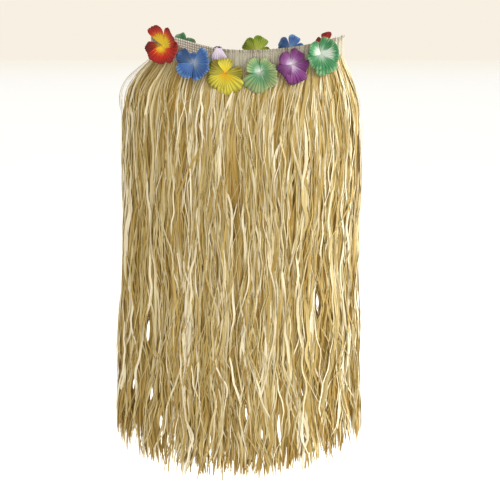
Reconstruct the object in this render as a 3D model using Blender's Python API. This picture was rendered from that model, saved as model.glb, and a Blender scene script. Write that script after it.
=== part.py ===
"""Grass skirt: a woven waistband, cloth flowers and sections of hanging raffia.

Metres, +Z up. The front faces -Y, and +X is to the right for someone who looks at the front. The origin
is the middle of the waist opening. The skirt keeps the hollow, filled-out form that it has while it is
held at the waist. Each raffia section is a heading strip with its strands fused to the strip's underside.
"""

import bisect
import math
import random
from collections import namedtuple

import bmesh
import bpy
from mathutils import Vector

# Waistband: the oval through the middle of its wall
WAIST_HALF_WIDTH = 0.180
WAIST_HALF_DEPTH = 0.060
BAND_HEIGHT = 0.036
BAND_WALL = 0.0025
# Its middle line stands this high at the two sides and sags towards the middle, front and back
SIDE_HEIGHT = 0.012
SAG = 0.026
# The front also hangs slack at one place, left of the middle, and the back rises at one at the left. The
# raffia makes up for both on the way down
SLACK_DEPTH = 0.0165
SLACK_X = -0.0975
SLACK_HALF_WIDTH = 0.042
RISE_HEIGHT = 0.009
RISE_ANGLE = math.radians(142)
RISE_HALF_ANGLE = math.radians(42)
UNEVEN_FADE = 0.2

# What two neighbouring solids leave between them
SEAM = 0.0003

# Heading strip that holds the raffia, under the band
STRIP_HEIGHT = 0.018
STRIP_WALL = 0.0036
STRIP_END_GAP = 0.0002

# Hanging raffia: its longest drop, and how the oval grows on the way down and leans to the left
DROP = 0.750
FLARE_WIDTH = 0.041
FLARE_DEPTH = 0.026
FLARE_REACH = 0.032
SPREAD_WIDTH = 0.019
SPREAD_DEPTH = 0.012
LEAN = -0.0145
LEAN_REACH = 0.030
# Drops at which every strand has a ring of corners, before the two where it narrows to its tip
RING_DROPS = (0.030, 0.095, 0.28, 0.50)
TAPER_LENGTH = 0.055
# Strands start to sway over this length, and the outer row lifts off over the other
SWAY_REACH = 0.10
LIFT_REACH = 0.05
TIP_SHARE = 0.35
TIP_SLANT = 0.006
SHORTEST_TIP = 0.045
SEED = 11

# turns: whole waves round the oval; length: of one wave down the skirt, m; size: in radians, or in m for
# the in-and-out waves; phase: in radians
Wave = namedtuple("Wave", "turns length size phase")
IN_AND_OUT = (
    Wave(turns=4, length=0.48, size=0.0022, phase=0.8),
    Wave(turns=9, length=0.27, size=0.0012, phase=3.0),
)

# strands: round the whole skirt; outside and inside: the root's two faces, from the strip's middle;
# narrow and wide: a strand's share of its own cell; stray: how far it may leave the cell's middle, in
# cells; lift: how far the row stands off, m
Row = namedtuple("Row", "strands outside inside narrow wide stray lift waves")
INNER_ROW = Row(
    strands=120,
    outside=-0.0004,
    inside=-0.0018,
    narrow=0.74,
    wide=0.86,
    stray=0.0,
    lift=0.0,
    waves=(
        Wave(turns=3, length=0.62, size=0.022, phase=0.4),
        Wave(turns=7, length=0.37, size=0.013, phase=2.1),
        Wave(turns=11, length=0.23, size=0.006, phase=4.0),
    ),
)
OUTER_ROW = Row(
    strands=100,
    outside=0.0018,
    inside=0.0004,
    narrow=0.42,
    wide=0.64,
    stray=0.16,
    lift=0.0045,
    waves=(
        Wave(turns=2, length=0.55, size=0.024, phase=3.3),
        Wave(turns=5, length=0.31, size=0.015, phase=1.2),
        Wave(turns=9, length=0.21, size=0.007, phase=5.1),
    ),
)

# Raffia sections, in order round the waist from the right side: each side has some sections of so many
# cells of the inner row
Side = namedtuple("Side", "name sections cells")
SIDES = (
    Side(name="right", sections=2, cells=6),
    Side(name="back", sections=4, cells=12),
    Side(name="left", sections=2, cells=6),
    Side(name="front", sections=4, cells=12),
)
FIRST_CELL = -6

# Flowers: five round petals, dished outwards, on a short stem
PETALS = 5
STEPS_PER_PETAL = 4
# How far the outline reaches at a notch, a shoulder, a petal's end and the other shoulder
PETAL_OUTLINE = (0.72, 0.95, 1.0, 0.95)
# The lowest petal is longer and the highest shorter by this share
PETAL_DROOP = 0.18
FLOWER_WALL = 0.001
FLOWER_DISH = 0.010
STEM_LENGTH = 0.003
STEM_RADIUS = 0.0035
EYE_SHARE = 0.16
MIDDLE_SHARE = 0.55

# side: -1 on the front and 1 on the back; x and z: the stem's place, m; turn: of the petals, and lean:
# of the face towards the sky, degrees; colour: linear red, green, blue
Flower = namedtuple("Flower", "name side x z radius turn lean colour")
FLOWERS = (
    Flower("flower_front_red", -1, -0.155, 0.012, 0.0315, 54, 6, (0.60, 0.03, 0.01)),
    Flower("flower_front_blue", -1, -0.098, -0.018, 0.0300, 20, 10, (0.05, 0.12, 0.50)),
    Flower("flower_front_yellow", -1, -0.040, -0.038, 0.0320, 90, 14, (0.75, 0.65, 0.05)),
    Flower("flower_front_pale_green", -1, 0.025, -0.035, 0.0310, 30, 14, (0.30, 0.55, 0.28)),
    Flower("flower_front_purple", -1, 0.082, -0.022, 0.0290, 75, 12, (0.30, 0.03, 0.32)),
    Flower("flower_front_emerald", -1, 0.135, -0.003, 0.0300, 48, 8, (0.05, 0.42, 0.16)),
    Flower("flower_back_green", 1, -0.114, 0.006, 0.0300, 90, 4, (0.05, 0.40, 0.20)),
    Flower("flower_back_lilac", 1, -0.050, -0.017, 0.0300, 40, 4, (0.45, 0.35, 0.60)),
    Flower("flower_back_yellow_green", 1, 0.018, 0.000, 0.0310, 54, 4, (0.35, 0.45, 0.03)),
    Flower("flower_back_blue", 1, 0.083, 0.007, 0.0300, 54, 4, (0.05, 0.12, 0.50)),
    Flower("flower_back_red", 1, 0.148, 0.013, 0.0300, 90, 4, (0.60, 0.03, 0.01)),
)

BAND_COLOUR = (0.45, 0.41, 0.32)
RAFFIA_COLOUR = (0.52, 0.39, 0.20)
ARC_STEPS = 1440


def clear_scene():
    for thing in list(bpy.data.objects):
        bpy.data.objects.remove(thing, do_unlink=True)


def material(name, colour, roughness):
    made = bpy.data.materials.new(name)
    made.use_nodes = True
    shader = made.node_tree.nodes["Principled BSDF"]
    shader.inputs["Base Color"].default_value = (*colour, 1.0)
    shader.inputs["Roughness"].default_value = roughness
    shader.inputs["Metallic"].default_value = 0.0
    return made


def add_object(name, bm, look):
    bmesh.ops.recalc_face_normals(bm, faces=bm.faces)
    mesh = bpy.data.meshes.new(name)
    bm.to_mesh(mesh)
    bm.free()
    mesh.materials.append(look)
    mesh.shade_smooth()
    mesh.set_sharp_from_angle(angle=math.radians(40))
    thing = bpy.data.objects.new(name, mesh)
    bpy.context.collection.objects.link(thing)
    return thing


def arc_lengths():
    """Length along the waist oval from +X to each of ARC_STEPS equal steps of its angle."""
    step = 2 * math.pi / ARC_STEPS
    lengths = [0.0]
    for i in range(ARC_STEPS):
        middle = (i + 0.5) * step
        along = math.hypot(WAIST_HALF_WIDTH * math.sin(middle), WAIST_HALF_DEPTH * math.cos(middle))
        lengths.append(lengths[-1] + along * step)
    return lengths


ARC = arc_lengths()
WAIST_ROUND = ARC[-1]


def angle_at(share):
    """The oval's angle at a share of the way round the waist, which may be below 0 or above 1."""
    turns = math.floor(share)
    wanted = (share - turns) * WAIST_ROUND
    i = min(max(bisect.bisect_right(ARC, wanted) - 1, 0), ARC_STEPS - 1)
    part = (wanted - ARC[i]) / (ARC[i + 1] - ARC[i])
    return 2 * math.pi * (turns + (i + part) / ARC_STEPS)


def oval_place(angle, half_width, half_depth, out):
    """Place on an oval, moved out along its normal."""
    along_x = math.cos(angle) / half_width
    along_y = math.sin(angle) / half_depth
    size = math.hypot(along_x, along_y)
    x = half_width * math.cos(angle) + out * along_x / size
    y = half_depth * math.sin(angle) + out * along_y / size
    return x, y


def bump(away):
    """A smooth bump, 1 in its middle and 0 from a distance of 1."""
    return 0.5 * (1 + math.cos(math.pi * min(away, 1)))


def uneven(angle):
    """How much higher the band stands where it rises, or lower, below 0, where it hangs slack."""
    height = RISE_HEIGHT * bump(abs(angle % (2 * math.pi) - RISE_ANGLE) / RISE_HALF_ANGLE)
    if math.sin(angle) < 0:
        away = abs(WAIST_HALF_WIDTH * math.cos(angle) - SLACK_X) / SLACK_HALF_WIDTH
        height -= SLACK_DEPTH * bump(away)
    return height


def band_line(angle):
    """Height of the waistband's middle line."""
    return SIDE_HEIGHT - SAG * math.sin(angle) ** 2 + uneven(angle)


def waist_place(share, below, out):
    """Place on the waist's oval, so far below the band's middle line."""
    angle = angle_at(share)
    x, y = oval_place(angle, WAIST_HALF_WIDTH, WAIST_HALF_DEPTH, out)
    return Vector((x, y, band_line(angle) - below))


def sway(waves, angle, drop):
    total = 0.0
    for wave in waves:
        turn = wave.turns * angle + 2 * math.pi * drop / wave.length + wave.phase
        total += wave.size * math.sin(turn)
    return total * (1 - math.exp(-drop / SWAY_REACH))


def raffia_place(row, share, drop, out):
    """Place in the hanging raffia: on the oval at that drop, with the row's sway, lift and lean."""
    root = angle_at(share)
    angle = root + sway(row.waves, root, drop)
    flare = 1 - math.exp(-drop / FLARE_REACH)
    half_width = WAIST_HALF_WIDTH + FLARE_WIDTH * flare + SPREAD_WIDTH * drop / DROP
    half_depth = WAIST_HALF_DEPTH + FLARE_DEPTH * flare + SPREAD_DEPTH * drop / DROP
    lift = row.lift * (1 - math.exp(-drop / LIFT_REACH))
    x, y = oval_place(angle, half_width, half_depth, out + lift + sway(IN_AND_OUT, angle, drop))
    x += LEAN * (1 - math.exp(-drop / LEAN_REACH))
    top = band_line(root) - BAND_HEIGHT / 2 - SEAM - STRIP_HEIGHT
    return Vector((x, y, top - drop - uneven(root) * (1 - math.exp(-drop / UNEVEN_FADE))))


def grow(bm, face, rings):
    """Extrude a face through rings of corners, one ring after another."""
    for ring in rings:
        face = bmesh.ops.extrude_discrete_faces(bm, faces=[face])["faces"][0]
        for vert, place in zip(face.verts, ring):
            vert.co = place


def ladder(bm, rail_a, rail_b):
    """Fill the space between two rails, which are lists of (share, vert) with the same ends."""
    i = 0
    j = 0
    while i < len(rail_a) - 1 or j < len(rail_b) - 1:
        next_a = rail_a[i + 1][0] if i < len(rail_a) - 1 else math.inf
        next_b = rail_b[j + 1][0] if j < len(rail_b) - 1 else math.inf
        if next_a <= next_b:
            bm.faces.new((rail_a[i][1], rail_a[i + 1][1], rail_b[j][1]))
            i += 1
        else:
            bm.faces.new((rail_a[i][1], rail_b[j + 1][1], rail_b[j][1]))
            j += 1


def waistband():
    """A closed strip round the waist, one wall thick."""
    bm = bmesh.new()
    steps = INNER_ROW.strands
    corners = (
        (-BAND_HEIGHT / 2, BAND_WALL / 2),
        (BAND_HEIGHT / 2, BAND_WALL / 2),
        (BAND_HEIGHT / 2, -BAND_WALL / 2),
        (-BAND_HEIGHT / 2, -BAND_WALL / 2),
    )
    rings = []
    for i in range(steps):
        rings.append([bm.verts.new(waist_place(i / steps, below, out)) for below, out in corners])
    for i in range(steps):
        here = rings[i]
        after = rings[(i + 1) % steps]
        for k in range(4):
            bm.faces.new((here[k], after[k], after[(k + 1) % 4], here[(k + 1) % 4]))
    add_object("waistband", bm, material("woven_raffia", BAND_COLOUR, 0.85))


def strand_spans(row, start, end, rng):
    """Left and right edge of each of a row's roots between two shares of the waist."""
    count = round((end - start) * row.strands)
    spans = []
    for i in range(count):
        middle = start + (i + 0.5) / row.strands
        half = 0.5 * rng.uniform(row.narrow, row.wide) / row.strands
        spans.append((middle - half, middle + half))
    return spans


def strand_rings(row, span, rng):
    """Rings of four corners down one strand, the last one at its tip."""
    middle = (span[0] + span[1]) / 2
    half = (span[1] - span[0]) / 2
    tip = DROP - SHORTEST_TIP * rng.random() ** 2
    rings = []
    for drop in RING_DROPS + (tip - TAPER_LENGTH, tip):
        at_tip = drop == tip
        centre = middle + rng.uniform(-row.stray, row.stray) / row.strands
        wide = half * (TIP_SHARE if at_tip else rng.uniform(0.88, 1.0))
        slant = rng.uniform(-TIP_SLANT, TIP_SLANT) if at_tip else 0.0
        left = (centre - wide, drop - slant)
        right = (centre + wide, drop + slant)
        rings.append([
            raffia_place(row, *left, row.outside),
            raffia_place(row, *right, row.outside),
            raffia_place(row, *right, row.inside),
            raffia_place(row, *left, row.inside),
        ])
    return rings


def rail(bm, shares, below, out):
    return [(share, bm.verts.new(waist_place(share, below, out))) for share in shares]


def add_row(bm, outside, inside, row, spans, rng):
    """Close the strip's underside between two rails of a row, and grow a strand from each root."""
    for i in range(len(outside) - 1):
        corners = (outside[i][1], outside[i + 1][1], inside[i + 1][1], inside[i][1])
        face = bm.faces.new(corners)
        if i % 2 == 1:
            grow(bm, face, strand_rings(row, spans[i // 2], rng))


def raffia_section(name, first, cells, look, rng):
    """A heading strip over some cells of the waist, with an inner and an outer row of strands."""
    start = first / INNER_ROW.strands
    end = (first + cells) / INNER_ROW.strands
    gap = STRIP_END_GAP / WAIST_ROUND
    inner = strand_spans(INNER_ROW, start, end, rng)
    outer = strand_spans(OUTER_ROW, start, end, rng)
    ends = (start + gap, end - gap)
    plain = [ends[0]] + [(first + i) / INNER_ROW.strands for i in range(1, cells)] + [ends[1]]
    inner_shares = [ends[0]] + [edge for span in inner for edge in span] + [ends[1]]
    outer_shares = [ends[0]] + [edge for span in outer for edge in span] + [ends[1]]
    top = BAND_HEIGHT / 2 + SEAM
    bottom = top + STRIP_HEIGHT
    bm = bmesh.new()
    rails = (
        rail(bm, plain, top, STRIP_WALL / 2),
        rail(bm, outer_shares, bottom, OUTER_ROW.outside),
        rail(bm, outer_shares, bottom, OUTER_ROW.inside),
        rail(bm, inner_shares, bottom, INNER_ROW.outside),
        rail(bm, inner_shares, bottom, INNER_ROW.inside),
        rail(bm, plain, top, -STRIP_WALL / 2),
    )
    ladder(bm, rails[0], rails[1])
    ladder(bm, rails[2], rails[3])
    ladder(bm, rails[4], rails[5])
    ladder(bm, rails[5], rails[0])
    bm.faces.new([one[0][1] for one in rails])
    bm.faces.new([one[-1][1] for one in rails])
    add_row(bm, rails[1], rails[2], OUTER_ROW, outer, rng)
    add_row(bm, rails[3], rails[4], INNER_ROW, inner, rng)
    add_object(name, bm, look)


def all_raffia():
    look = material("raffia", RAFFIA_COLOUR, 0.7)
    rng = random.Random(SEED)
    first = FIRST_CELL
    for side in SIDES:
        for number in range(1, side.sections + 1):
            raffia_section(f"raffia_{side.name}_{number}", first, side.cells, look, rng)
            first += side.cells


def flower_seat(flower):
    """The stem's place on the band or the heading strip, and the directions out and along there."""
    angle = math.acos(flower.x / WAIST_HALF_WIDTH) * flower.side
    band_bottom = band_line(angle) - BAND_HEIGHT / 2
    wall = BAND_WALL if flower.z - STEM_RADIUS > band_bottom else STRIP_WALL
    x, y = oval_place(angle, WAIST_HALF_WIDTH, WAIST_HALF_DEPTH, wall / 2 + SEAM)
    out = Vector((math.cos(angle) / WAIST_HALF_WIDTH, math.sin(angle) / WAIST_HALF_DEPTH, 0)).normalized()
    along = Vector((0, 0, 1)).cross(out)
    return Vector((x, y, flower.z)), out, along


def flower(data):
    """Five dished petals on a stem: one face grown from the seat out to the rim and back to the eye."""
    seat, out, along = flower_seat(data)
    up = Vector((0, 0, 1))
    lean = math.radians(data.lean)
    face_out = out * math.cos(lean) + up * math.sin(lean)
    face_up = up * math.cos(lean) - out * math.sin(lean)
    steps = PETALS * STEPS_PER_PETAL

    def ring(share, behind):
        places = []
        for k in range(steps):
            turn = math.radians(data.turn) + 2 * math.pi * (k - 2) / steps
            notch = 1 - (1 - PETAL_OUTLINE[k % STEPS_PER_PETAL]) * share ** 2
            reach = share * notch * (1 - PETAL_DROOP * math.sin(turn))
            height = STEM_LENGTH + FLOWER_DISH * reach ** 1.5 - behind
            flat = along * math.cos(turn) + face_up * math.sin(turn)
            places.append(seat + flat * data.radius * reach + face_out * height)
        return places

    bm = bmesh.new()
    base = []
    for k in range(steps):
        turn = math.radians(data.turn) + 2 * math.pi * (k - 2) / steps
        flat = along * math.cos(turn) + up * math.sin(turn)
        base.append(bm.verts.new(seat + flat * STEM_RADIUS))
    bm.faces.new(base)
    root = bm.faces.new([bm.verts.new(vert.co) for vert in base])
    grow(bm, root, (
        ring(MIDDLE_SHARE, FLOWER_WALL),
        ring(1.0, FLOWER_WALL),
        ring(1.0, 0.0),
        ring(MIDDLE_SHARE, 0.0),
        ring(EYE_SHARE, 0.0),
    ))
    bmesh.ops.remove_doubles(bm, verts=bm.verts, dist=0.00001)
    add_object(data.name, bm, material(data.name + "_cloth", data.colour, 0.6))


def main():
    clear_scene()
    waistband()
    all_raffia()
    for data in FLOWERS:
        flower(data)


main()
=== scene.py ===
"""Looks of the grass skirt: woven waistband, pleated cloth flowers and a dense hang of crinkled raffia.

Metres, +Z up, front towards -Y. All places come from the same driving sizes as the solids.
"""

import math
from collections import namedtuple

import bmesh
import bpy
import numpy as np
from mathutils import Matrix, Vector


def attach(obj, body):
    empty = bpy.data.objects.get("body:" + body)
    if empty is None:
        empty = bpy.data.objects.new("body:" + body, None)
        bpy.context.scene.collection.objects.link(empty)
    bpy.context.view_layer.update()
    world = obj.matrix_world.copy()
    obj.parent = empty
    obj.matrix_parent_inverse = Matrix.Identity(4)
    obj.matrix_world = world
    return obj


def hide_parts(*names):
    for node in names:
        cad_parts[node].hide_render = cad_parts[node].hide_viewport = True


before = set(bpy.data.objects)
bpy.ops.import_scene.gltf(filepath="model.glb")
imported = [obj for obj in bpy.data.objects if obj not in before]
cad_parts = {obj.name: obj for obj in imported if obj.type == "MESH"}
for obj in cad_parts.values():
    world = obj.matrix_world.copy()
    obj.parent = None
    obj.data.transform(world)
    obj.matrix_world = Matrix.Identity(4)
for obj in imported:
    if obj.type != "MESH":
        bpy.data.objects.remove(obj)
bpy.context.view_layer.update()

# Waistband and body of the skirt, as in the solids
WAIST_HALF_WIDTH = 0.180
WAIST_HALF_DEPTH = 0.060
BAND_HEIGHT = 0.036
BAND_WALL = 0.0025
SIDE_HEIGHT = 0.012
SAG = 0.026
SLACK_DEPTH = 0.0165
SLACK_X = -0.0975
SLACK_HALF_WIDTH = 0.042
RISE_HEIGHT = 0.009
RISE_ANGLE = math.radians(142)
RISE_HALF_ANGLE = math.radians(42)
UNEVEN_FADE = 0.2
STRIP_HEIGHT = 0.018
STRIP_WALL = 0.0036
SEAM = 0.0003
DROP = 0.750
FLARE_WIDTH = 0.041
FLARE_DEPTH = 0.026
FLARE_REACH = 0.032
SPREAD_WIDTH = 0.019
SPREAD_DEPTH = 0.012
LEAN = -0.0145
LEAN_REACH = 0.030
CELLS = 120

# Raffia sections: the CAD node, its first cell of the waist, how many cells, and how many strands
Section = namedtuple("Section", "node first cells strands")
SECTIONS = (
    Section("raffia_right_1", -6, 6, 92),
    Section("raffia_right_2", 0, 6, 92),
    Section("raffia_back_1", 6, 12, 150),
    Section("raffia_back_2", 18, 12, 150),
    Section("raffia_back_3", 30, 12, 150),
    Section("raffia_back_4", 42, 12, 150),
    Section("raffia_left_1", 54, 6, 92),
    Section("raffia_left_2", 60, 6, 92),
    Section("raffia_front_1", 66, 12, 196),
    Section("raffia_front_2", 78, 12, 196),
    Section("raffia_front_3", 90, 12, 196),
    Section("raffia_front_4", 102, 12, 196),
)
STRAND_STEPS = 84
FREE_REACH = 0.07       # how soon below the band the strands hang free and stray
LOCKS = 46              # clumps in which the strands gather near the hem
LOCK_CUT = 0.016
LOCK_WAVE = 0.006
STRAIGHT = 0.24         # how far strands in front and back turn from the flare's fan to the upright
ROOT_RISE = 0.003       # a strand starts this far above the band's lower edge
TIP_REACH = 0.022       # the longest tips reach this far below the drop
CORNER_LIFT = 0.024     # the raffia is this much shorter at both ends of the oval
RAGGED = 0.046
SHORT_SHARE = 0.44      # share of the strands that end higher up, and by how much
SHORTER = (0.01, 0.15)
HEM_START = 0.54        # below this the strands splay
MASS_WIDTH = 0.0066     # usual widths in the calm mass and of the loose strands over it
LOOSE_WIDTH = 0.0023
BRIGHT_SHARE = 0.40     # share of the loose strands that are wide and pale
FIBRES = 460
SEED = 5
LOCK_SEED = 77
FIBRE_SEED = 405
THREAD_SEED = 21

# The camera stands level with the band, tilted down. Narrow gaps in front and back that it looks
# through: x and z where the line of sight meets the plane y = 0, half width, half height and slant.
CAMERA = (0.0055, -2.1, 0.0)
CAMERA_TILT = 9.78
LENS = 78.6
SENSOR = 36
GAPS = (
    (0.1385, -0.484, 0.0072, 0.058, 0.03),
    (-0.1955, -0.543, 0.0062, 0.060, -0.06),
    (-0.1911, -0.676, 0.0052, 0.040, 0.10),
    (-0.2272, -0.660, 0.0050, 0.046, 0.04),
    (-0.1733, -0.730, 0.0060, 0.042, -0.16),
    (-0.0025, -0.716, 0.0056, 0.044, 0.12),
    (0.0297, -0.757, 0.0052, 0.034, -0.05),
    (0.0628, -0.736, 0.0058, 0.050, -0.10),
    (0.1498, -0.611, 0.0050, 0.034, 0.14),
    (0.1100, -0.668, 0.0048, 0.036, -0.12),
)


def linear(red, green, blue):
    """Linear colour from 8-bit screen values."""
    parts = []
    for value in (red, green, blue):
        share = value / 255
        parts.append(share / 12.92 if share <= 0.04045 else ((share + 0.055) / 1.055) ** 2.4)
    return (*parts, 1.0)


def arc_table(steps=2880):
    """Angles round the waist's oval, and the length of the way round to each."""
    angles = np.linspace(0, 2 * math.pi, steps + 1)
    middle = (angles[1:] + angles[:-1]) / 2
    along = np.hypot(WAIST_HALF_WIDTH * np.sin(middle), WAIST_HALF_DEPTH * np.cos(middle))
    lengths = np.concatenate(([0.0], np.cumsum(along) * 2 * math.pi / steps))
    return angles, lengths


ANGLES, ARC = arc_table()
WAIST_ROUND = float(ARC[-1])


def angle_at(share):
    """The oval's angle at a share of the way round the waist."""
    turns = np.floor(share)
    return np.interp((share - turns) * WAIST_ROUND, ARC, ANGLES) + 2 * math.pi * turns


def uneven(angle):
    """How far the band rises at the back left, and hangs slack at the front left."""
    away = np.clip(np.abs(WAIST_HALF_WIDTH * np.cos(angle) - SLACK_X) / SLACK_HALF_WIDTH, 0, 1)
    slack = np.where(np.sin(angle) < 0, SLACK_DEPTH * 0.5 * (1 + np.cos(math.pi * away)), 0.0)
    away = np.clip(np.abs(np.mod(angle, 2 * math.pi) - RISE_ANGLE) / RISE_HALF_ANGLE, 0, 1)
    return RISE_HEIGHT * 0.5 * (1 + np.cos(math.pi * away)) - slack


def band_line(angle):
    """Height of the waistband's middle line."""
    return SIDE_HEIGHT - SAG * np.sin(angle) ** 2 + uneven(angle)


def oval_frame(angle, half_width, half_depth):
    """Places on an oval with the directions out and along there, in the flat."""
    place = np.stack([half_width * np.cos(angle), half_depth * np.sin(angle)], -1)
    out = np.stack([np.cos(angle) / half_width, np.sin(angle) / half_depth], -1)
    out /= np.linalg.norm(out, axis=-1, keepdims=True)
    along = np.stack([-out[..., 1], out[..., 0]], -1)
    return place, out, along


def body_size(drop):
    """Half width and half depth of the raffia at a drop below its heading strip."""
    flare = 1 - np.exp(-np.maximum(drop, 0) / FLARE_REACH)
    half_width = WAIST_HALF_WIDTH + FLARE_WIDTH * flare + SPREAD_WIDTH * drop / DROP
    half_depth = WAIST_HALF_DEPTH + FLARE_DEPTH * flare + SPREAD_DEPTH * drop / DROP
    return half_width, half_depth


def soft_step(x):
    x = np.clip(x, 0, 1)
    return x * x * (3 - 2 * x)


def with_zero(flat):
    """Flat directions as directions in space."""
    return np.concatenate([flat, np.zeros_like(flat[..., :1])], -1)


def wander(rng, count, length, at, size, zigzag=0.0, terms=3):
    """Smooth or zigzag wander of each strand about its line; at has a row for each strand."""
    total = np.zeros_like(at)
    for _ in range(terms):
        wave = length * rng.uniform(0.65, 1.6, (count, 1))
        phase = rng.uniform(0, 2 * math.pi, (count, 1))
        weight = rng.uniform(0.4, 1.0, (count, 1))
        sine = np.sin(2 * math.pi * at / wave + phase)
        total += weight * ((1 - zigzag) * sine + zigzag * np.arcsin(sine) * 2 / math.pi)
    return size * total / math.sqrt(terms / 2)


def strip_mesh(name, rings, attributes, columns=1):
    """Mesh of ribbons, each with its own place on the map; rings is (ribbons, rings, across, 3)."""
    ribbons, steps, across, _ = rings.shape
    base = np.arange(ribbons)[:, None, None] * steps * across
    ring = np.arange(steps - 1)[None, :, None] * across
    side = np.arange(across - 1)[None, None, :]
    corner = base + ring + side
    quads = np.stack([corner, corner + 1, corner + across + 1, corner + across], -1).reshape(-1, 4)
    mesh = bpy.data.meshes.new(name)
    mesh.vertices.add(ribbons * steps * across)
    mesh.vertices.foreach_set("co", rings.reshape(-1).astype(np.float32))
    mesh.loops.add(quads.size)
    mesh.loops.foreach_set("vertex_index", quads.reshape(-1).astype(np.int32))
    mesh.polygons.add(len(quads))
    mesh.polygons.foreach_set("loop_start", np.arange(0, quads.size, 4, dtype=np.int32))
    mesh.update(calc_edges=True)
    mesh.shade_smooth()
    rows = math.ceil(ribbons / columns)
    number = np.arange(ribbons)
    left = (number % columns)[:, None, None] + 0.08
    low = (number // columns)[:, None, None] + 0.02
    flat_u = (left + 0.84 * np.linspace(0, 1, across)[None, None, :]) / columns
    flat_v = (low + 0.96 * np.linspace(0, 1, steps)[None, :, None]) / rows
    flat_u, flat_v = np.broadcast_arrays(flat_u, flat_v)
    flat = np.stack([flat_u, flat_v], -1).reshape(-1, 2)[quads.reshape(-1)]
    mesh.uv_layers.new(name="OFBake").data.foreach_set("uv", flat.reshape(-1).astype(np.float32))
    for key, values in attributes.items():
        if values.ndim == 4:
            made = mesh.attributes.new(key, "FLOAT_VECTOR", "POINT")
            made.data.foreach_set("vector", values.reshape(-1).astype(np.float32))
        else:
            made = mesh.attributes.new(key, "FLOAT", "POINT")
            made.data.foreach_set("value", values.reshape(-1).astype(np.float32))
    thing = bpy.data.objects.new(name, mesh)
    bpy.context.collection.objects.link(thing)
    return thing


def new_material(name):
    made = bpy.data.materials.new(name)
    made.use_nodes = True
    nodes = made.node_tree.nodes
    shader = nodes["Principled BSDF"]
    return made, nodes, made.node_tree.links, shader


def ramp_node(nodes, stops):
    ramp = nodes.new("ShaderNodeValToRGB")
    band = ramp.color_ramp
    while len(band.elements) < len(stops):
        band.elements.new(0.5)
    for element, (place, colour) in zip(band.elements, stops):
        element.position = place
        element.color = colour
    return ramp


def attribute_node(nodes, name):
    node = nodes.new("ShaderNodeAttribute")
    node.attribute_name = name
    return node


def maths(nodes, links, kind, first, second):
    node = nodes.new("ShaderNodeMath")
    node.operation = kind
    for socket, value in zip(node.inputs, (first, second)):
        if isinstance(value, (int, float)):
            socket.default_value = value
        else:
            links.new(value, socket)
    return node.outputs[0]


def raffia_material(name, stops, roughness, fleck):
    """Straw: a tone for each strand, which partly holds painted shade, streaks along its fibres, and
    fine ribs in the bump.
    """
    made, nodes, links, shader = new_material(name)
    tone_and_painted_shade = attribute_node(nodes, "tone_and_painted_shade")
    fibre = attribute_node(nodes, "fibre")
    streak = nodes.new("ShaderNodeTexNoise")
    streak.inputs["Scale"].default_value = 1.0
    streak.inputs["Detail"].default_value = 3.0
    links.new(fibre.outputs["Vector"], streak.inputs["Vector"])
    shift = maths(nodes, links, "SUBTRACT", streak.outputs["Fac"], 0.5)
    shift = maths(nodes, links, "MULTIPLY", shift, fleck)
    total = maths(nodes, links, "ADD", tone_and_painted_shade.outputs["Fac"], shift)
    ramp = ramp_node(nodes, stops)
    links.new(total, ramp.inputs["Fac"])
    links.new(ramp.outputs["Color"], shader.inputs["Base Color"])
    bump = nodes.new("ShaderNodeBump")
    bump.inputs["Strength"].default_value = 0.35
    bump.inputs["Distance"].default_value = 0.0006
    links.new(streak.outputs["Fac"], bump.inputs["Height"])
    links.new(bump.outputs["Normal"], shader.inputs["Normal"])
    shader.inputs["Roughness"].default_value = roughness
    shader.inputs["Specular IOR Level"].default_value = 0.22
    return made


# The dark, warm low end colours the inner strands, partly as painted shade; the pale top colours the
# loose outer strands.
RAFFIA_STOPS = (
    (0.00, linear(132, 92, 28)),
    (0.26, linear(156, 126, 58)),
    (0.50, linear(172, 149, 88)),
    (0.76, linear(194, 180, 134)),
    (1.00, linear(222, 214, 188)),
)
BAND_STOPS = (
    (0.00, linear(96, 88, 70)),
    (0.40, linear(156, 150, 132)),
    (1.00, linear(202, 198, 184)),
)


# turn: degrees from the right, towards up, in the flower's plane; half: half the petal's opening in
# degrees; reach: mm to the petal's end; lift: how far its end stands out, in mm; curl: how far the rim
# then bends back; warm: how far the colours of the middle spread along it; last, its brightness factor:
# partly how light its print is, partly painted shade on petals that turn away from the light
Petal = namedtuple("Petal", "turn half reach lift curl warm shade")
Flower = namedtuple("Flower", "node side x z lean slot stops petals")


RED = (
    (0.00, linear(238, 206, 40)),
    (0.24, linear(230, 182, 30)),
    (0.38, linear(206, 84, 14)),
    (0.60, linear(184, 30, 8)),
    (1.00, linear(118, 16, 14)),
)
BLUE = (
    (0.00, linear(176, 190, 212)),
    (0.18, linear(126, 152, 192)),
    (0.40, linear(80, 120, 182)),
    (0.82, linear(46, 94, 166)),
    (1.00, linear(104, 144, 198)),
)
YELLOW = (
    (0.00, linear(236, 166, 24)),
    (0.20, linear(236, 198, 34)),
    (0.50, linear(222, 208, 60)),
    (0.80, linear(204, 194, 68)),
    (1.00, linear(160, 150, 40)),
)
PALE_GREEN = (
    (0.00, linear(214, 222, 214)),
    (0.24, linear(168, 198, 174)),
    (0.42, linear(84, 152, 106)),
    (0.62, linear(116, 162, 108)),
    (1.00, linear(164, 182, 126)),
)
PURPLE = (
    (0.00, linear(222, 212, 232)),
    (0.20, linear(194, 168, 204)),
    (0.42, linear(146, 88, 156)),
    (0.75, linear(122, 42, 124)),
    (1.00, linear(92, 34, 92)),
)
EMERALD = (
    (0.00, linear(212, 224, 218)),
    (0.26, linear(168, 196, 174)),
    (0.48, linear(76, 148, 100)),
    (0.80, linear(34, 124, 70)),
    (1.00, linear(120, 166, 116)),
)
LILAC = (
    (0.00, linear(224, 216, 234)),
    (0.60, linear(208, 196, 224)),
    (0.84, linear(180, 158, 206)),
    (1.00, linear(70, 30, 104)),
)
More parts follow.
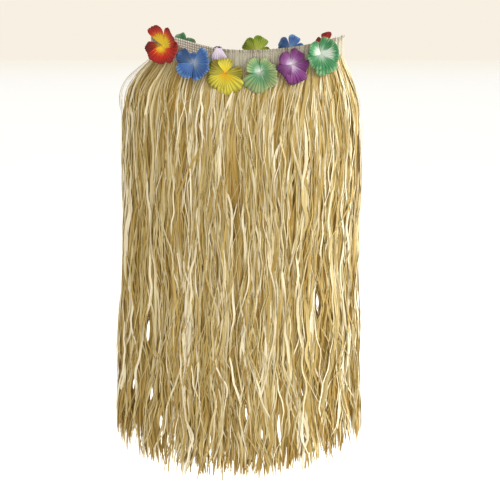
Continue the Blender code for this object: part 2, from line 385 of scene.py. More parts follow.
LILAC_INSIDE = (
    (0.00, linear(222, 214, 230)),
    (1.00, linear(196, 182, 212)),
)
YELLOW_GREEN = (
    (0.00, linear(196, 198, 122)),
    (0.40, linear(158, 172, 58)),
    (0.80, linear(126, 146, 36)),
    (1.00, linear(100, 124, 26)),
)

FLOWERS = (
    Flower("flower_front_red", -1, -0.155, 0.012, 6, "cloth_red", RED, (
        Petal(103, 36, 37, 21, 0, 0.46, 1.04),
        Petal(30, 42, 38, 16, 0, 0.38, 1.04),
        Petal(190, 30, 35, 4, 1, 0.0, 0.75),
        Petal(-28, 46, 39, 12, 6, 0.0, 1.40),
        Petal(-108, 54, 34, 10, 5, 0.08, 1.45),
    )),
    Flower("flower_front_blue", -1, -0.098, -0.018, 10, "cloth_blue", BLUE, (
        Petal(90, 40, 17, 6, 0, 0.1, 0.85),
        Petal(152, 38, 32, 6, 0, 0.10, 0.66),
        Petal(24, 42, 32, 10, 1, 0.04, 1.12),
        Petal(-52, 44, 35, 8, 1, 0.10, 0.95),
        Petal(-130, 44, 35, 17, 8, -0.12, 1.14),
    )),
    Flower("flower_front_yellow", -1, -0.040, -0.038, 14, "cloth_yellow", YELLOW, (
        Petal(154, 42, 31, 8, 2, -0.36, 0.72),
        Petal(86, 46, 26, 11, 0, 0.0, 1.22),
        Petal(-12, 44, 32, 8, 1, -0.30, 0.80),
        Petal(-128, 46, 36, 12, 7, 0.04, 0.98),
        Petal(-68, 50, 44, 14, 9, 0.04, 1.08),
    )),
    Flower("flower_front_pale_green", -1, 0.025, -0.035, 14, "cloth_pale_green", PALE_GREEN, (
        Petal(146, 50, 28, 9, 1, 0.14, 1.12),
        Petal(50, 48, 24, 9, 1, 0.0, 1.12),
        Petal(-10, 44, 30, 9, 2, -0.16, 0.94),
        Petal(-56, 42, 36, 10, 3, -0.12, 0.94),
        Petal(-114, 50, 43, 17, 13, -0.08, 0.92),
    )),
    Flower("flower_front_purple", -1, 0.082, -0.022, 12, "cloth_purple", PURPLE, (
        Petal(62, 40, 28, 9, 1, 0.06, 1.0),
        Petal(146, 44, 27, 10, 1, 0.14, 0.96),
        Petal(-20, 42, 30, 8, 1, -0.02, 0.84),
        Petal(-140, 44, 31, 10, 4, -0.12, 0.80),
        Petal(-78, 44, 38, 13, 6, 0.08, 1.08),
    )),
    Flower("flower_front_emerald", -1, 0.135, -0.003, 8, "cloth_emerald", EMERALD, (
        Petal(66, 36, 31, 12, 0, 0.0, 0.90),
        Petal(152, 46, 28, 10, 2, 0.34, 1.12),
        Petal(4, 46, 34, 10, 2, 0.62, 0.96),
        Petal(-138, 46, 33, 12, 5, -0.06, 0.96),
        Petal(-78, 50, 40, 13, 7, -0.04, 1.0),
    )),
    Flower("flower_back_green", 1, -0.114, 0.006, 4, "cloth_emerald", EMERALD, (
        Petal(60, 28, 33, 12, 0, 0.0, 0.85),
        Petal(120, 40, 23, 8, 0, -0.2, 0.5),
        Petal(200, 46, 29, 10, 2, 0.0, 0.9),
        Petal(-90, 48, 33, 10, 3, 0.0, 1.0),
        Petal(-20, 48, 30, 10, 2, 0.0, 0.9),
    )),
    Flower("flower_back_lilac", 1, -0.050, -0.017, 4, "cloth_lilac", LILAC, (
        Petal(64, 40, 29, 11, 1, 0.0, 1.2),
        Petal(128, 40, 24, 11, 1, 0.0, 1.2),
        Petal(190, 48, 28, 10, 2, 0.0, 1.2),
        Petal(-98, 48, 34, 11, 3, 0.0, 1.3),
        Petal(-24, 48, 29, 10, 2, 0.0, 1.2),
    )),
    Flower("flower_back_yellow_green", 1, 0.018, 0.000, 4, "cloth_yellow_green", YELLOW_GREEN, (
        Petal(44, 38, 31, 10, 1, 0.0, 1.25),
        Petal(110, 38, 32, 12, 1, 0.0, 1.45),
        Petal(186, 42, 26, 10, 2, 0.0, 1.2),
        Petal(-90, 48, 34, 11, 3, 0.0, 1.3),
        Petal(-18, 42, 26, 10, 2, 0.0, 1.2),
    )),
    Flower("flower_back_blue", 1, 0.083, 0.007, 4, "cloth_blue", BLUE, (
        Petal(38, 34, 27, 10, 1, -0.05, 0.95),
        Petal(110, 36, 27, 11, 1, 0.0, 1.3),
        Petal(186, 42, 26, 10, 2, 0.0, 1.2),
        Petal(-90, 48, 33, 11, 3, 0.0, 1.3),
        Petal(-22, 42, 26, 10, 2, 0.0, 1.2),
    )),
    Flower("flower_back_red", 1, 0.148, 0.013, 4, "cloth_red", RED, (
        Petal(88, 34, 26, 12, 1, 0.0, 1.2),
        Petal(26, 26, 25, 10, 1, 0.0, 0.9),
        Petal(170, 40, 22, 10, 2, 0.0, 1.3),
        Petal(-80, 48, 33, 11, 3, 0.0, 1.4),
        Petal(-140, 46, 27, 10, 2, 0.0, 1.3),
    )),
)
STEM_LENGTH = 0.003
CLOTH_WALL = 0.0005
FOLDED_PETAL_X = -0.0515
PLEATS = 9
TURN_SEED = 0.37
FLOOR_RADIUS = 160
FLOOR_LEVEL = -1.0


def flower_frame(flower):
    """The stem's seat, and the face's directions out, along and up."""
    angle = math.acos(flower.x / WAIST_HALF_WIDTH) * flower.side
    cosine, sine = math.cos(angle), math.sin(angle)
    out = Vector((cosine / WAIST_HALF_WIDTH, sine / WAIST_HALF_DEPTH, 0)).normalized()
    up = Vector((0, 0, 1))
    along = up.cross(out)
    place = Vector((WAIST_HALF_WIDTH * cosine, WAIST_HALF_DEPTH * sine, flower.z))
    seat = place + out * (STRIP_WALL / 2 + SEAM)
    lean = math.radians(flower.lean)
    face_out = out * math.cos(lean) + up * math.sin(lean)
    face_up = up * math.cos(lean) - out * math.sin(lean)
    return seat, out, along, face_out, face_up


def keep_behind_flowers(points):
    """Press strand points that would come through a flower back behind its petals."""
    petal_reach = 0.033
    dish = 0.0085
    for flower in FLOWERS:
        seat, _, along, face_out, face_up = flower_frame(flower)
        away = points - np.array(seat)
        across = away @ np.array(along)
        height = away @ np.array(face_up)
        ahead = away @ np.array(face_out)
        reach = np.hypot(across, height) / petal_reach
        limit = STEM_LENGTH * 0.2 + dish * np.clip(reach, 0, 1.2) ** 1.5
        over = np.where((reach < 1.25) & (ahead > limit) & (ahead < 0.05), ahead - limit, 0.0)
        points -= over[..., None] * np.array(face_out)
    return points


def part_at_gaps(points):
    """Move strands aside where the photograph looks through the skirt, each by its own share."""
    points = points.copy()
    away = 1 - points[..., 1] / CAMERA[1]
    strand = np.arange(len(points))[:, None]
    # Spread evenly over the strands, so that a gap's two edges are ragged.
    share = 0.68 + 0.44 * (strand * 0.618034 % 1)
    shift = 0.7 * (strand * 0.754878 % 1 - 0.5)
    for x, z, half_width, half_height, slant in GAPS:
        above = points[..., 2] - z * away
        beside = points[..., 0] - CAMERA[0] - (x - CAMERA[0]) * away - slant * above
        above = above / half_height + shift
        opened = np.cos(0.5 * math.pi * np.clip(above, -1, 1)) ** 1.5
        nearest = np.argmin(np.abs(above), 1)[:, None]
        side = np.where(np.take_along_axis(beside, nearest, 1) < 0, -1.0, 1.0)
        beside = beside * side
        room = half_width * share * opened
        pushed = 4 * half_width
        crossing = room + beside * (1 - opened)
        packed = room + beside * (1 - room / pushed)
        moved = np.where(beside < 0, crossing, np.where(beside < pushed, packed, beside))
        points[..., 0] += side * (moved - beside)
    return points


def wildness(layer):
    """0 for the calm mass inside, 1 for the loose strands outside."""
    return soft_step((layer - 0.45) / 0.45)


def lock_habits(share):
    """Length and phase of the wave, and the cut, that the strands of one clump share."""
    lock = np.floor(share * LOCKS).astype(int) % LOCKS
    rng = np.random.default_rng(LOCK_SEED)
    wave = rng.uniform(0.30, 0.70, LOCKS)[lock][:, None]
    phase = rng.uniform(0, 2 * math.pi, LOCKS)[lock][:, None]
    cut = rng.uniform(0.0, LOCK_CUT, LOCKS)[lock]
    return wave, phase, cut


def strand_reach(rng, share, cut):
    """How far each strand hangs down to its tip: ragged, and shorter at both ends of the oval."""
    count = len(share)
    longest = STRIP_HEIGHT + DROP + TIP_REACH - CORNER_LIFT * np.abs(np.cos(angle_at(share))) ** 3
    reach = longest - cut - RAGGED * rng.uniform(0, 1, count) ** 1.3
    short = rng.uniform(0, 1, count) < SHORT_SHARE
    return reach - np.where(short, rng.uniform(*SHORTER, count), 0.0)


def straying(rng, below, wild):
    """How far each strand strays sideways of its own, in metres, coarse and fine."""
    count = len(below)
    column = (count, 1)
    # A long sway and a slant, kinks that grow towards the hem, an offset, and short kinks.
    tangle = 1 + 0.60 * wild * soft_step((below - 0.30) / 0.40)
    own = wander(rng, count, 0.50, below, 0.0045)
    own = own + rng.normal(0, 1, column) * (0.006 + 0.020 * wild) * below
    own += wander(rng, count, 0.21, below, 0.0016 + 0.0034 * wild, zigzag=0.85) * tangle
    own += rng.normal(0, 1, column) * (0.0035 + 0.0080 * wild) * soft_step(below / 0.10)
    own += wander(rng, count, 0.11, below, 0.0022 * wild, zigzag=0.85)
    # Some loose strands cross over others for a hand's breadth, and all splay at the hem.
    crossing = (rng.uniform(0, 1, column) < 0.24) * wild * rng.uniform(0.12, 0.34, column)
    crossing = crossing * np.where(rng.uniform(0, 1, column) < 0.75, -1, 1)
    own += crossing * np.clip(below - rng.uniform(0, 0.62, column), 0, 0.13)
    splay = np.sin(2.399 * np.arange(count))[:, None] * (0.25 + 0.75 * wild)
    own += 0.15 * splay * np.clip(below - HEM_START, 0, None)
    fine = wander(rng, count, 0.075, below, 0.0005 + 0.0007 * wild, zigzag=0.9) * tangle
    return own, fine


def lean_and_fit(place, angle, drop):
    """Lean the raffia to the left, and fit its two sides to the outline in the photograph."""
    place[..., 0] += LEAN * (1 - np.exp(-drop / LEAN_REACH))
    left = 0.0066 * (1 - np.exp(-drop / 0.045)) * (1 - soft_step((drop - 0.40) / 0.22))
    left = left - 0.0050 * soft_step((drop - 0.60) / 0.12)
    place[..., 0] += left * soft_step(-np.cos(angle) / 0.8)
    right = 0.0080 * np.exp(-0.5 * ((drop - 0.52) / 0.13) ** 2)
    place[..., 0] -= right * soft_step(np.cos(angle) / 0.8)


def strand_paths(rng, section, count):
    """Middle lines of a section's strands: a calm mass inside, and loose, tangled strands over it."""
    start = section.first / CELLS
    span = section.cells / CELLS
    share = start + span * (np.arange(count) + rng.uniform(0, 1, count)) / count
    rng.shuffle(share)
    layer = rng.uniform(0, 1, count)
    wild = wildness(layer)[:, None]
    lock_wave, lock_phase, lock_cut = lock_habits(share)
    reach = strand_reach(rng, share, lock_cut)
    below = reach[:, None] * np.linspace(0, 1, STRAND_STEPS + 1)[None, :] - ROOT_RISE
    hung = np.maximum(below, 0)
    drop = np.maximum(below - STRIP_HEIGHT * (1 - np.exp(-hung / STRIP_HEIGHT)), 0)
    grown = 1 - np.exp(-hung / FREE_REACH)

    locked = LOCK_WAVE * np.sin(2 * math.pi * below / lock_wave + lock_phase)
    own, fine = straying(rng, below, wild)
    gather = ((np.floor(share * LOCKS) + 0.5) / LOCKS - share)[:, None]
    gather = gather * (0.85 - 0.55 * wild) * soft_step((below - 0.50) / 0.24)
    root = angle_at(share)[:, None]
    gathered = angle_at(share[:, None] + gather)
    flare = 1 - np.exp(-drop / FLARE_REACH)
    gathered = gathered + 0.5 * STRAIGHT * flare * np.sin(2 * gathered)
    half_width, half_depth = body_size(drop)
    speed = np.hypot(half_width * np.sin(root), half_depth * np.cos(root))
    angle = gathered + ((locked + own) * grown + fine * np.minimum(grown * 2, 1)) / speed
    place, out, along = oval_frame(angle, half_width, half_depth)

    depth = (-0.0025 + 0.0092 * layer)[:, None] * (1 - np.exp(-hung / 0.05))
    depth = depth + (layer[:, None] - 0.5) * 0.0016
    depth += wander(rng, count, 0.22, below, 0.0004 + 0.0014 * wild) * grown
    depth += 0.0022 * np.sin(4 * angle + 2 * math.pi * drop / 0.48 + 0.8) * grown
    place = place + out * depth[..., None]
    lean_and_fit(place, angle, drop)
    height = band_line(root) - BAND_HEIGHT / 2 - below
    height = height - uneven(root) * (1 - np.exp(-drop / UNEVEN_FADE))
    middle = np.concatenate([place, height[..., None]], -1)
    return middle, with_zero(out), with_zero(along), below, reach, layer


def strand_widths(rng, below, reach, wild, bright, forked):
    """Width along each strand: swelling and shrinking, narrower at the root, tapered to the tip."""
    total = len(below)
    column = (total, 1)
    usual = np.log(MASS_WIDTH) + (np.log(LOOSE_WIDTH) - np.log(MASS_WIDTH)) * wild
    wide = np.exp(usual + 0.34 * bright + rng.normal(0, 1, total) * (0.22 + 0.16 * wild))
    wide = np.clip(wide, 0.0010, 0.0085)[:, None]
    wide[forked:] *= 0.6
    swell = 1 + 0.18 * wander(rng, total, 0.12, below, 1.0, terms=2)
    taper = rng.uniform(0.006, 0.030, column) + 0.16 * (1 - wild[:, None]) * rng.uniform(0, 1, column)
    tip = np.clip((reach[:, None] - ROOT_RISE - below) / taper, 0, 1)
    rooted = 0.55 + 0.45 * soft_step(below / 0.09)
    return (wide * np.clip(swell, 0.5, 1.6) * rooted * (0.25 + 0.75 * tip ** 0.8))[..., None]


def strand_turns(rng, below, wild):
    """Twist of each strand about its line: loose ones turn more, and some flip over once."""
    total = len(below)
    column = (total, 1)
    turn = rng.normal(0, 0.40, column) + wander(rng, total, 0.30, below, 0.50)
    flips = rng.uniform(0, 1, column) < 0.4
    flip_at = rng.uniform(0.06, 0.7, column)
    turn = turn + flips * math.pi * soft_step((below - flip_at) / 0.045)
    turn = turn * (0.25 + 0.75 * np.clip(below / 0.05, 0, 1)) * (0.24 + 0.60 * wild[:, None])
    return turn[..., None]


def raffia(section, look):
    """A dense hang of crinkled ribbons over one section, a fifth of them split lower down."""
    rng = np.random.default_rng(SEED + section.first + 50)
    count = section.strands
    middle, out, along, below, reach, layer = strand_paths(rng, section, count)
    split = rng.choice(count, count // 5, replace=False)
    fork = rng.uniform(0.15, 0.62, (len(split), 1))
    apart = rng.uniform(0.003, 0.014, (len(split), 1)) * rng.choice([-1, 1], (len(split), 1))
    swing = (apart * soft_step((below[split] - fork) / 0.16))[..., None]
    middle = np.concatenate([middle, middle[split] + along[split] * swing + out[split] * 0.0006])
    out, along, below, reach, layer = (
        np.concatenate([values, values[split]]) for values in (out, along, below, reach, layer))
    total = count + len(split)
    wild = wildness(layer)

    bright = rng.uniform(0, 1, total) < BRIGHT_SHARE * wild
    width = strand_widths(rng, below, reach, wild, bright, count)
    turn = strand_turns(rng, below, wild)
    side = np.cos(turn) * along + np.sin(turn) * out
    face = -np.sin(turn) * along + np.cos(turn) * out
    curl = rng.uniform(0.03, 0.17, (total, 1, 1)) * rng.choice([1, 1, 1, -1], (total, 1, 1))
    centre = keep_behind_flowers(part_at_gaps(middle))
    rings = np.stack([
        centre - side * width / 2,
        centre + face * width * curl,
        centre + side * width / 2,
    ], 2)

    # Tone differs at random from strand to strand; the inner mass is also darker and the loose outer
    # strands lighter, as painted shade in the depth of the hang.
    tone_and_painted_shade = 0.30 + 0.22 * wild + rng.normal(0, 0.10, total)
    tone_and_painted_shade = np.where(bright, tone_and_painted_shade + 0.41, tone_and_painted_shade)[:, None]
    tone_and_painted_shade = tone_and_painted_shade + 0.07 * wander(rng, total, 0.30, below, 1.0)
    tone_and_painted_shade = np.broadcast_to(tone_and_painted_shade[..., None], rings.shape[:3])
    fibre = np.zeros(rings.shape)
    fibre[..., 0] = np.linspace(0, 1, 3)[None, None, :] * 5 + rng.uniform(0, 500, (total, 1, 1))
    fibre[..., 1] = below[..., None] * 14
    fibre[..., 2] = rng.uniform(0, 500, (total, 1, 1))
    piece = strip_mesh(section.node + "_strands", rings, {"tone_and_painted_shade": tone_and_painted_shade, "fibre": fibre}, columns=total)
    piece.data.materials.append(look)
    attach(piece, "root")
    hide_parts(section.node)
    return piece


def loose_fibres(look):
    """Thin split fibres over the raffia, with a few that fly off below the band's left end."""
    rng = np.random.default_rng(FIBRE_SEED)
    column = (FIBRES, 1)
    whole = Section("all", 0, CELLS, FIBRES)
    middle, out, along, below, reach, _ = strand_paths(rng, whole, FIBRES)
    stray = rng.uniform(0, 1, column) ** 3
    bow = np.sin(math.pi * np.clip(below / rng.uniform(0.25, 0.9, column), 0, 1))
    left_end = (middle[:, :1, 0] < -0.170) & (rng.uniform(0, 1, column) < 0.6)
    fly = rng.uniform(0.005, 0.017, column) * left_end * np.sin(math.pi * np.clip(below / 0.11, 0, 1))
    middle = middle + out * (0.0015 + 0.008 * stray * bow + fly)[..., None]
    middle = keep_behind_flowers(part_at_gaps(middle))
    tip = np.clip((reach[:, None] - ROOT_RISE - below) / 0.03, 0.1, 1)
    width = (rng.uniform(0.0005, 0.0013, column) * tip)[..., None]
    turn = wander(rng, FIBRES, 0.15, below, 0.9)[..., None]
    side = np.cos(turn) * along + np.sin(turn) * out
    rings = np.stack([middle - side * width / 2, middle + side * width / 2], 2)
    tone_and_painted_shade = np.broadcast_to(rng.uniform(0.4, 1.0, (FIBRES, 1, 1)), rings.shape[:3])
    fibre = np.zeros(rings.shape)
    fibre[..., 0] = rng.uniform(0, 500, (FIBRES, 1, 1))
    fibre[..., 1] = below[..., None] * 40
    piece = strip_mesh("raffia_loose_fibres", rings, {"tone_and_painted_shade": tone_and_painted_shade, "fibre": fibre}, columns=FIBRES)
    piece.data.materials.append(look)
    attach(piece, "root")
    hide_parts(*[section.node for section in SECTIONS])
    return piece


def band_shell():
    """The band's cloth: a plain outer face for the threads to lie on, and a raised weave inside."""
    around = 436
    rows = 21
    weave = 0.00028
    outer = BAND_WALL / 2 - 0.0005
    inner = -BAND_WALL / 2 + 0.0003
    share = np.arange(around + 1) / around
    angle = angle_at(share)
    place, out, _ = oval_frame(angle, WAIST_HALF_WIDTH, WAIST_HALF_DEPTH)
    line = band_line(angle)
    levels = np.linspace(-0.5, 0.5, rows)
    profile = [(level, outer, 0.0, 0) for level in levels]
    profile += [(level, inner, weave, row) for row, level in enumerate(levels[::-1])]
    profile.append(profile[0])
    rings = np.zeros((1, len(profile), around + 1, 3))
    for k, (level, offset, relief, row) in enumerate(profile):
        checker = np.where((np.arange(around + 1) + row) % 2 == 0, 1.0, -1.0)
        reach = offset - relief * checker
        rings[0, k, :, :2] = place + out * reach[:, None]
        rings[0, k, :, 2] = line + level * BAND_HEIGHT
    rings[0, :, -1] = rings[0, :, 0]
    weave_place = np.zeros((1, len(profile), around + 1, 3))
    weave_place[0, ..., 0] = share[None, :] * WAIST_ROUND * 1000
    weave_place[0, ..., 1] = np.array([level for level, *_ in profile])[:, None] * BAND_HEIGHT * 1000
    weave_place[0, ..., 2] = np.array([1.0 if relief else 0.0 for _, _, relief, _ in profile])[:, None]
    shell = strip_mesh("waistband_cloth", rings, {"weave": weave_place})
    weld(shell)
    shell.data.materials.append(weave_material())
    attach(shell, "root")
    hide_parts("waistband")
    return shell


def weld(thing):
    """Join the edges that meet, and turn all faces outward."""
    bm = bmesh.new()
    bm.from_mesh(thing.data)
    bmesh.ops.remove_doubles(bm, verts=bm.verts, dist=0.00002)
    bmesh.ops.recalc_face_normals(bm, faces=bm.faces)
    bm.to_mesh(thing.data)
    bm.free()


def weave_material():
    """Plain weave: threads over and under each other, with painted shade in the gaps between them."""
    made, nodes, links, shader = new_material("woven_band")
    weave = attribute_node(nodes, "weave")
    split = nodes.new("ShaderNodeSeparateXYZ")
    links.new(weave.outputs["Vector"], split.inputs[0])
    pitch = 4.6  # mm between threads
    across = maths(nodes, links, "MULTIPLY", split.outputs["X"], math.pi / pitch)
    upward = maths(nodes, links, "MULTIPLY", split.outputs["Y"], math.pi / pitch)
    across = maths(nodes, links, "ABSOLUTE", maths(nodes, links, "SINE", across, 0.0), 0.0)
    upward = maths(nodes, links, "ABSOLUTE", maths(nodes, links, "SINE", upward, 0.0), 0.0)
    # Low between the threads: the colour ramp paints shade there, and the bump uses the same pattern.
    grid = maths(nodes, links, "MINIMUM", across, upward)
    noise = nodes.new("ShaderNodeTexNoise")
    noise.inputs["Scale"].default_value = 0.45
    noise.inputs["Detail"].default_value = 4.0
    links.new(weave.outputs["Vector"], noise.inputs["Vector"])
    mixed = maths(nodes, links, "MULTIPLY", grid, 0.75)
    mottle = maths(nodes, links, "MULTIPLY", noise.outputs["Fac"], 0.4)
    mixed = maths(nodes, links, "ADD", mixed, mottle)
    ramp = ramp_node(nodes, (
        (0.15, linear(92, 84, 72)),
        (0.50, linear(170, 163, 153)),
        (0.95, linear(222, 216, 208)),
    ))
    links.new(mixed, ramp.inputs["Fac"])
    links.new(ramp.outputs["Color"], shader.inputs["Base Color"])
    bump = nodes.new("ShaderNodeBump")
    bump.inputs["Strength"].default_value = 0.5
    bump.inputs["Distance"].default_value = 0.0008
    links.new(mixed, bump.inputs["Height"])
    links.new(bump.outputs["Normal"], shader.inputs["Normal"])
    shader.inputs["Roughness"].default_value = 0.85
    return made


def band_threads():
    """Upright raffia threads that cover the band's outer face, a little uneven at both edges."""
    rng = np.random.default_rng(THREAD_SEED)
    laid = 880
    frayed = 44
    count = laid + frayed
    steps = 10
    share = ((np.arange(laid) + rng.uniform(-0.35, 0.35, laid)) / laid)[:, None]
    share = np.concatenate([share, rng.normal(-0.010, 0.014, (frayed, 1))])
    level = np.linspace(0, 1, steps)[None, :]
    low = -0.5 * BAND_HEIGHT - rng.uniform(-0.0006, 0.0016, (count, 1))
    high = 0.5 * BAND_HEIGHT + rng.uniform(-0.0004, 0.0010, (count, 1))
    low[laid:] = rng.uniform(0.0, 0.3, (frayed, 1)) * BAND_HEIGHT
    high[laid:] += rng.uniform(-0.002, 0.003, (frayed, 1))
    height = low + (high - low) * level
    shift = wander(rng, count, 0.03, height, 0.0005, zigzag=0.5)
    angle = angle_at(share + shift / WAIST_ROUND)
    place, out, along = oval_frame(angle, WAIST_HALF_WIDTH, WAIST_HALF_DEPTH)
    lie = BAND_WALL / 2 - 0.0003 + rng.uniform(0, 0.0005, (count, 1))
    lie = lie + wander(rng, count, 0.02, height, 0.0001)
    lie[laid:] += rng.uniform(-0.001, 0.003, (frayed, 1)) * level ** 2
    place = place + out * lie[..., None]
    middle = np.concatenate([place, (band_line(angle) + height)[..., None]], -1)
    out = with_zero(out)
    along = with_zero(along)
    width = rng.uniform(0.0009, 0.0019, (count, 1, 1)) * (1 - 0.5 * level ** 4)[..., None]
    rings = np.stack([
        middle - along * width / 2 - out * 0.0003,
        middle + out * 0.0004,
        middle + along * width / 2 - out * 0.0003,
    ], 2)
    tone_and_painted_shade = rng.normal(0.66, 0.16, (count, 1))
    # Some threads darken towards the band's top and bottom edges: painted shade at the edges and between
    # the strand roots below.
    tone_and_painted_shade = tone_and_painted_shade - 0.7 * (rng.uniform(0, 1, (count, 1)) < 0.30) * soft_step((level - 0.84) / 0.08)
    tone_and_painted_shade = tone_and_painted_shade - 0.6 * (rng.uniform(0, 1, (count, 1)) < 0.22) * soft_step((0.16 - level) / 0.08)
    tone_and_painted_shade = np.broadcast_to(np.clip(tone_and_painted_shade, 0, 1)[..., None], rings.shape[:3])
    fibre = np.zeros(rings.shape)
    fibre[..., 0] = np.linspace(0, 1, 3)[None, None, :] * 4 + rng.uniform(0, 500, (count, 1, 1))
    fibre[..., 1] = height[..., None] * 220
    threads = strip_mesh("waistband_threads", rings, {"tone_and_painted_shade": tone_and_painted_shade, "fibre": fibre}, columns=125)
    threads.data.materials.append(raffia_material("band_thread", BAND_STOPS, 0.8, 0.7))
    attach(threads, "root")
    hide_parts("waistband")
    return threads


def petal_places(petal, radius_steps=9, side_steps=52):
    """One petal about the flower's middle: places across, up and ahead, and its place on the print."""
    reach_full = petal.reach * 0.001
    side = np.linspace(-1, 1, side_steps + 1)
    side = 0.5 * side + 0.5 * np.sin(side * math.pi / 2)
    shell = np.linspace(0.02, 1, radius_steps + 1)
    fold = side + 0.06 * np.sin(side * 4.2 + petal.turn)
    pleat = np.abs(np.sin(fold * PLEATS * math.pi / 2 + petal.turn))
    edge = reach_full * (1 - np.abs(side * 0.99) ** 7) ** 0.42
    edge = edge * (1 + 0.035 * pleat + 0.03 * np.sin(side * 5 + petal.turn))
    turn = math.radians(petal.turn) + side * math.radians(petal.half)
    distance = shell[:, None] * edge[None, :]
    share = distance / reach_full
    lift = petal.lift * share ** 1.4
    bend = petal.curl * np.maximum(share - 0.55, 0) ** 2 / 0.2
    slope = 1.8 * side[None, :] * share * (1 - share * 0.4)
    crease = 0.62 + 0.38 * np.sin(side * 2.6 + petal.turn * 2.3)
    relief = 0.70 * crease[None, :] * (pleat[None, :] - 0.5) * share
    rim = np.sin(side * 1.9 * math.pi + petal.turn * 1.7)
    ahead = lift - bend + slope + relief + 1.7 * rim[None, :] * share ** 4
    flat = distance * (1 - 0.25 * (petal.lift * 0.001 / reach_full) ** 2)
    places = np.stack([flat * np.cos(turn), flat * np.sin(turn), ahead * 0.001], -1)
    spread = share - petal.warm * (1 - 0.8 * share ** 2)
    colour = np.stack([spread, np.broadcast_to(fold[None, :], share.shape),
                       np.full(share.shape, petal.turn * TURN_SEED)], -1)
    return places, colour


def petal_material(name, stops):
    """Printed cloth: colours from the middle out, with streaks along them; painted shade darkens the
    pleats and, with the print's own lightness, whole petals.
    """
    made, nodes, links, shader = new_material(name)
    petal = attribute_node(nodes, "petal")
    shade = attribute_node(nodes, "shade")
    split = nodes.new("ShaderNodeSeparateXYZ")
    links.new(petal.outputs["Vector"], split.inputs[0])
    stretch = nodes.new("ShaderNodeVectorMath")
    stretch.operation = "MULTIPLY"
    stretch.inputs[1].default_value = (1.8, 9.0, 1.0)
    links.new(petal.outputs["Vector"], stretch.inputs[0])
    noise = nodes.new("ShaderNodeTexNoise")
    noise.inputs["Scale"].default_value = 1.5
    noise.inputs["Detail"].default_value = 3.0
    links.new(stretch.outputs["Vector"], noise.inputs["Vector"])
    shift = maths(nodes, links, "SUBTRACT", noise.outputs["Fac"], 0.5)
    shift = maths(nodes, links, "MULTIPLY", shift, 0.85)
    turned = maths(nodes, links, "MULTIPLY", split.outputs["Z"], 1 / TURN_SEED)
    # Painted shade along the folds: the colour is darkened in a band across each pleat.
    pleat_shade = maths(nodes, links, "MULTIPLY", split.outputs["Y"], PLEATS * math.pi / 2)
    pleat_shade = maths(nodes, links, "ADD", pleat_shade, turned)
    pleat_shade = maths(nodes, links, "SINE", pleat_shade, 0.0)
    pleat_shade = maths(nodes, links, "ABSOLUTE", pleat_shade, 0.0)
    total = maths(nodes, links, "ADD", split.outputs["X"], shift)
    ramp = ramp_node(nodes, stops)
    links.new(total, ramp.inputs["Fac"])
    # Painted shade: darker in the pleats, then scaled by each petal's factor, partly its print's
    # lightness and partly painted shade.
    depth = maths(nodes, links, "MULTIPLY", pleat_shade, 0.42)
    depth = maths(nodes, links, "ADD", depth, 0.37)
    depth = maths(nodes, links, "MULTIPLY", depth, shade.outputs["Fac"])
    print_with_painted_shade = nodes.new("ShaderNodeVectorMath")
    print_with_painted_shade.operation = "SCALE"
    links.new(ramp.outputs["Color"], print_with_painted_shade.inputs[0])
    links.new(depth, print_with_painted_shade.inputs["Scale"])
    links.new(print_with_painted_shade.outputs["Vector"], shader.inputs["Base Color"])
    bump = nodes.new("ShaderNodeBump")
    bump.inputs["Strength"].default_value = 0.3
    bump.inputs["Distance"].default_value = 0.0004
    links.new(noise.outputs["Fac"], bump.inputs["Height"])
    links.new(bump.outputs["Normal"], shader.inputs["Normal"])
    shader.inputs["Roughness"].default_value = 0.55
    shader.inputs["Specular IOR Level"].default_value = 0.3
    return made


def thicken(piece):
    """Give a petal's cloth its thickness, on the back."""
    wall = piece.modifiers.new("wall", "SOLIDIFY")
    wall.thickness = CLOTH_WALL
    wall.offset = -1


def cloth_flower(flower):
    """Five pleated petals that overlap round the middle, gathered where the flower is sewn on."""
    seat, out, along, face_out, face_up = flower_frame(flower)
    shapes = [petal_places(petal) for petal in flower.petals]
    places, colours = (np.stack(part) for part in zip(*shapes))
    # Each petal's brightness factor: partly its print's lightness, partly painted shade on petals turned
    # from the light.
    lightness_and_painted_shades = np.array([petal.shade for petal in flower.petals])[:, None, None]
    lightness_and_painted_shades = np.broadcast_to(lightness_and_painted_shades, places.shape[:3])
    middle = np.array(seat + out * STEM_LENGTH)
    rings = (middle + places[..., :1] * np.array(along) + places[..., 1:2] * np.array(face_up)
             + places[..., 2:] * np.array(face_out))
    piece = strip_mesh(flower.node + "_petals", rings, {"petal": colours, "shade": lightness_and_painted_shades}, columns=3)
    piece.data.materials.append(petal_material(flower.node + "_print", flower.stops))
    thicken(piece)
    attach(piece, "root")
    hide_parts(flower.node)


def folded_petal():
    """A lilac petal whose flower hangs inside the front of the band: it is folded out over the edge."""
    petal = Petal(-90, 38, 32, 0, 0, 0.0, 1.4)
    places, colour = petal_places(petal)
    angle = -math.acos(FOLDED_PETAL_X / WAIST_HALF_WIDTH)
    around = angle + places[..., 0] / WAIST_HALF_WIDTH
    place, out, _ = oval_frame(around, WAIST_HALF_WIDTH, WAIST_HALF_DEPTH)
    over = -places[..., 1] - 0.006
    lie = BAND_WALL / 2 + 0.0018 + places[..., 2] + 0.0016 * np.sin(np.clip(over, 0, 1) * 160)
    inside = soft_step(-over / 0.005)
    lie = lie * (1 - 2 * inside) + 0.0008 * inside
    top = band_line(around) + BAND_HEIGHT / 2 + 0.0016
    height = top - np.abs(over) + 0.0014 * np.exp(-(over / 0.003) ** 2)
    rings = np.concatenate([place + out * lie[..., None], height[..., None]], -1)[None]
    piece = strip_mesh("lilac_petal_over_edge", rings, {
        "petal": colour[None],
        "shade": np.full(rings.shape[:3], petal.shade),
    })
    piece.data.materials.append(petal_material("lilac_petal_print", LILAC_INSIDE))
    thicken(piece)
    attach(piece, "root")


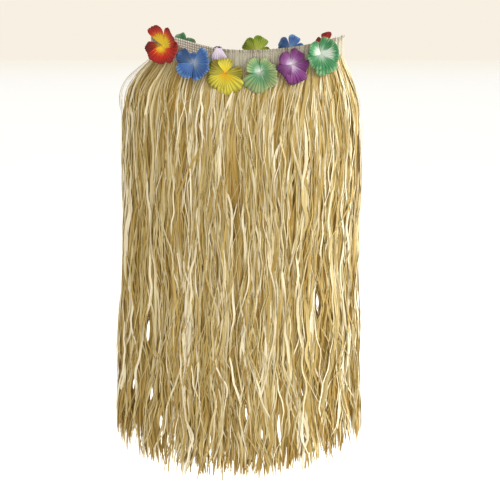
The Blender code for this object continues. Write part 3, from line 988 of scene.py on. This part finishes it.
def light(name, place, aim, size, watts, colour):
    """A round area light at a place, aimed at another."""
    data = bpy.data.lights.new(name, "AREA")
    data.shape = "DISK"
    data.size = size
    data.energy = watts
    data.color = colour
    lamp = bpy.data.objects.new(name, data)
    lamp.location = place
    lamp.rotation_euler = (Vector(aim) - Vector(place)).to_track_quat("-Z", "Y").to_euler()
    bpy.context.collection.objects.link(lamp)


def floor():
    """A wide pale floor at a wearer's feet, white near the middle; farther out its colour holds painted
    shade, and far away a painted cream like the sky.
    """
    bpy.ops.mesh.primitive_circle_add(
        vertices=96, radius=FLOOR_RADIUS, fill_type="NGON", location=(0, 0, FLOOR_LEVEL))
    ground = bpy.context.object
    ground.name = "floor"
    look, nodes, links, shader = new_material("pale_floor")
    place = nodes.new("ShaderNodeTexCoord")
    far = nodes.new("ShaderNodeVectorMath")
    far.operation = "LENGTH"
    links.new(place.outputs["Object"], far.inputs[0])
    # Painted by distance from the middle: white, then dimmer and bluish grey, then the cream of the sky.
    ramp = ramp_node(nodes, (
        (0.05, (0.95, 0.95, 0.95, 1)),
        (0.12, (0.83, 0.87, 0.93, 1)),
        (0.25, (0.80, 0.83, 0.88, 1)),
        (0.50, (0.775, 0.79, 0.785, 1)),
        (1.00, (0.766, 0.753, 0.727, 1)),
    ))
    share = maths(nodes, links, "DIVIDE", far.outputs["Value"], FLOOR_RADIUS)
    links.new(share, ramp.inputs["Fac"])
    links.new(ramp.outputs["Color"], shader.inputs["Base Color"])
    shader.inputs["Roughness"].default_value = 0.9
    ground.data.materials.append(look)


def stage():
    """Pale floor, cream sky, soft light from the right, and the camera."""
    floor()
    world = bpy.data.worlds.new("soft_sky")
    world.use_nodes = True
    sky = world.node_tree.nodes["Background"]
    sky.inputs["Color"].default_value = linear(248, 240, 226)
    sky.inputs["Strength"].default_value = 1.0
    bpy.context.scene.world = world
    light("key", (3.2, -0.9, 0.7), (0, 0, -0.35), 4.0, 149, (1.0, 0.98, 0.92))
    light("rim", (1.7, 1.3, 0.8), (0, 0, -0.4), 1.4, 27, (1.0, 0.97, 0.92))
    sun = bpy.data.objects.new("overhead", bpy.data.lights.new("overhead", "SUN"))
    sun.data.energy = 0.9
    sun.data.angle = math.radians(50)
    bpy.context.collection.objects.link(sun)
    camera = bpy.data.objects.new("camera", bpy.data.cameras.new("camera"))
    camera.data.lens = LENS
    camera.data.sensor_width = SENSOR
    camera.location = CAMERA
    camera.rotation_euler = (math.radians(90 - CAMERA_TILT), 0, 0)
    bpy.context.collection.objects.link(camera)
    bpy.context.scene.camera = camera
    bpy.context.scene.view_settings.view_transform = "Standard"


stage()
straw = raffia_material("raffia_straw", RAFFIA_STOPS, 0.68, 0.40)
fringe = [raffia(section, straw) for section in SECTIONS] + [loose_fibres(straw)]
cloth = band_shell()
band_threads()
for flower in FLOWERS:
    cloth_flower(flower)
folded_petal()
